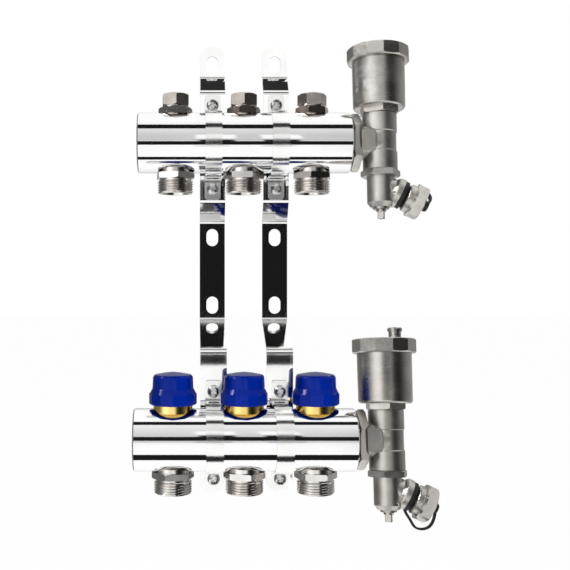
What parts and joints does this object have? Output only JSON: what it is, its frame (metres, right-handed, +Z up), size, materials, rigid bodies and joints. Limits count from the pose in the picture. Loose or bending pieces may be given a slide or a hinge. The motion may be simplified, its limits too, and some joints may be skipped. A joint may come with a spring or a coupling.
{
  "type": "heating manifold",
  "caption": "Wall-mounted heating manifold with balancing valves above, hand-capped thermostatic valves below, air vents, drain valves and folded brackets.",
  "frame": {"origin": "middle of the four wall slots, in the wall plane", "axes": "+X along the headers towards the vents and drains, +Y into the wall, +Z up"},
  "size_m": [0.2175, 0.0897, 0.3537],
  "materials": {
    "chrome": "bright plated",
    "bright_steel": "bright zinc-nickel plated sheet",
    "nickel": "bright nickel plated",
    "satin_nickel": "satin nickel plated",
    "brass": "turned",
    "steel": "plated",
    "blue_plastic": "satin moulded",
    "white_plastic": "moulded",
    "rubber": "moulded"
  },
  "bodies": {
    "manifold": {"upper_header": "chrome", "upper_outlet_1": "nickel", "upper_outlet_2": "nickel", "upper_outlet_3": "nickel", "lower_header": "chrome", "lower_outlet_1": "nickel", "lower_outlet_2": "nickel", "lower_outlet_3": "nickel", "balancing_body_1": "nickel", "lockshield_cap_1": "nickel", "insert_body_1": "brass", "balancing_body_2": "nickel", "lockshield_cap_2": "nickel", "insert_body_2": "brass", "balancing_body_3": "nickel", "lockshield_cap_3": "nickel", "insert_body_3": "brass", "insert_springs": "steel", "left_bracket": "bright_steel", "upper_left_clamp": "bright_steel", "lower_left_clamp": "bright_steel", "right_bracket": "bright_steel", "upper_right_clamp": "bright_steel", "lower_right_clamp": "bright_steel", "clamp_screws": "steel", "clamp_nuts": "steel", "upper_tee": "satin_nickel", "upper_vent_body": "satin_nickel", "upper_vent_lid": "satin_nickel", "upper_drain_body": "satin_nickel", "upper_cap_retainer": "rubber", "lower_tee": "satin_nickel", "lower_vent_body": "satin_nickel", "lower_vent_lid": "satin_nickel", "lower_drain_body": "satin_nickel", "lower_cap_retainer": "rubber", "tee_gaskets": "rubber", "cap_washers": "rubber"},
    "hand_cap_1": {"hand_cap_1": "blue_plastic"},
    "valve_stem_1": {"valve_stem_1": "steel", "valve_washer_1": "rubber"},
    "balancing_spindle_1": {"balancing_spindle_1": "brass"},
    "hand_cap_2": {"hand_cap_2": "blue_plastic"},
    "valve_stem_2": {"valve_stem_2": "steel", "valve_washer_2": "rubber"},
    "balancing_spindle_2": {"balancing_spindle_2": "brass"},
    "hand_cap_3": {"hand_cap_3": "blue_plastic"},
    "valve_stem_3": {"valve_stem_3": "steel", "valve_washer_3": "rubber"},
    "balancing_spindle_3": {"balancing_spindle_3": "brass"},
    "upper_vent_float": {"upper_vent_float": "white_plastic"},
    "upper_vent_lever": {"upper_vent_lever": "steel"},
    "upper_bleed_cap": {"upper_bleed_cap": "satin_nickel"},
    "upper_drain_spindle": {"upper_drain_spindle": "nickel"},
    "upper_outlet_cap": {"upper_outlet_cap": "satin_nickel"},
    "lower_vent_float": {"lower_vent_float": "white_plastic"},
    "lower_vent_lever": {"lower_vent_lever": "steel"},
    "lower_bleed_cap": {"lower_bleed_cap": "satin_nickel"},
    "lower_drain_spindle": {"lower_drain_spindle": "nickel"},
    "lower_outlet_cap": {"lower_outlet_cap": "satin_nickel"}
  },
  "joints": [
    {"name": "hand_cap_1_turn", "type": "hinge", "parent": "manifold", "child": "hand_cap_1", "pos_m": [-0.053, -0.066, -0.086], "axis": [0, 0, -1], "range_deg": [0, 720]},
    {"name": "valve_stem_1_slide", "type": "slide", "parent": "manifold", "child": "valve_stem_1", "axis": [0, 0, -1], "range_m": [0, 0.003]},
    {"name": "balancing_spindle_1_turn", "type": "hinge", "parent": "manifold", "child": "balancing_spindle_1", "pos_m": [-0.0517, -0.036, 0.1135], "axis": [0, 0, -1], "range_deg": [0, 900]},
    {"name": "hand_cap_2_turn", "type": "hinge", "parent": "manifold", "child": "hand_cap_2", "pos_m": [-0.003, -0.066, -0.086], "axis": [0, 0, -1], "range_deg": [0, 720]},
    {"name": "valve_stem_2_slide", "type": "slide", "parent": "manifold", "child": "valve_stem_2", "axis": [0, 0, -1], "range_m": [0, 0.003]},
    {"name": "balancing_spindle_2_turn", "type": "hinge", "parent": "manifold", "child": "balancing_spindle_2", "pos_m": [-0.0017, -0.036, 0.1135], "axis": [0, 0, -1], "range_deg": [0, 900]},
    {"name": "hand_cap_3_turn", "type": "hinge", "parent": "manifold", "child": "hand_cap_3", "pos_m": [0.047, -0.066, -0.086], "axis": [0, 0, -1], "range_deg": [0, 720]},
    {"name": "valve_stem_3_slide", "type": "slide", "parent": "manifold", "child": "valve_stem_3", "axis": [0, 0, -1], "range_m": [0, 0.003]},
    {"name": "balancing_spindle_3_turn", "type": "hinge", "parent": "manifold", "child": "balancing_spindle_3", "pos_m": [0.0483, -0.036, 0.1135], "axis": [0, 0, -1], "range_deg": [0, 900]},
    {"name": "upper_lever_tilt", "type": "hinge", "parent": "manifold", "child": "upper_vent_lever", "pos_m": [0.098, -0.01686, 0.15122], "axis": [1, 0, 0], "range_deg": [0, 13.2]},
    {"name": "upper_float_drop", "type": "slide", "parent": "manifold", "child": "upper_vent_float", "axis": [0, -0.1045, -0.9945], "range_m": [0, 0.003]},
    {"name": "upper_bleed_cap_turn", "type": "hinge", "parent": "manifold", "child": "upper_bleed_cap", "pos_m": [0.098, -0.02031, 0.16626], "axis": [0, 0.1045, 0.9945], "range_deg": [0, 540]},
    {"name": "upper_drain_spindle_turn", "type": "hinge", "parent": "manifold", "child": "upper_drain_spindle", "pos_m": [0.098, -0.0407, 0.04875], "axis": [0, -0.1045, -0.9945], "range_deg": [0, 720]},
    {"name": "upper_outlet_cap_turn", "type": "hinge", "parent": "manifold", "child": "upper_outlet_cap", "pos_m": [0.12406, -0.0406, 0.04973], "axis": [0.8988, -0.0458, -0.436], "range_deg": [0, 1080]},
    {"name": "lower_lever_tilt", "type": "hinge", "parent": "manifold", "child": "lower_vent_lever", "pos_m": [0.1097, -0.05773, -0.06018], "axis": [0, -0.9903, 0.1392], "range_deg": [0, 13.2]},
    {"name": "lower_float_drop", "type": "slide", "parent": "manifold", "child": "lower_vent_float", "axis": [0, -0.1392, -0.9903], "range_m": [0, 0.003]},
    {"name": "lower_bleed_cap_turn", "type": "hinge", "parent": "manifold", "child": "lower_bleed_cap", "pos_m": [0.1047, -0.0557, -0.04572], "axis": [0, 0.1392, 0.9903], "range_deg": [0, 540]},
    {"name": "lower_drain_spindle_turn", "type": "hinge", "parent": "manifold", "child": "lower_drain_spindle", "pos_m": [0.0967, -0.07226, -0.16356], "axis": [0, -0.1392, -0.9903], "range_deg": [0, 720]},
    {"name": "lower_outlet_cap_turn", "type": "hinge", "parent": "manifold", "child": "lower_outlet_cap", "pos_m": [0.12276, -0.07212, -0.16258], "axis": [0.8988, -0.061, -0.4341], "range_deg": [0, 1080]}
  ],
  "couplings": [
    {"joint": "valve_stem_1_slide", "follows": "hand_cap_1_turn", "m_per_rad": 0.00023873},
    {"joint": "valve_stem_2_slide", "follows": "hand_cap_2_turn", "m_per_rad": 0.00023873},
    {"joint": "valve_stem_3_slide", "follows": "hand_cap_3_turn", "m_per_rad": 0.00023873},
    {"joint": "upper_lever_tilt", "follows": "upper_float_drop", "rad_per_m": 76.79},
    {"joint": "lower_lever_tilt", "follows": "lower_float_drop", "rad_per_m": 76.79}
  ]
}
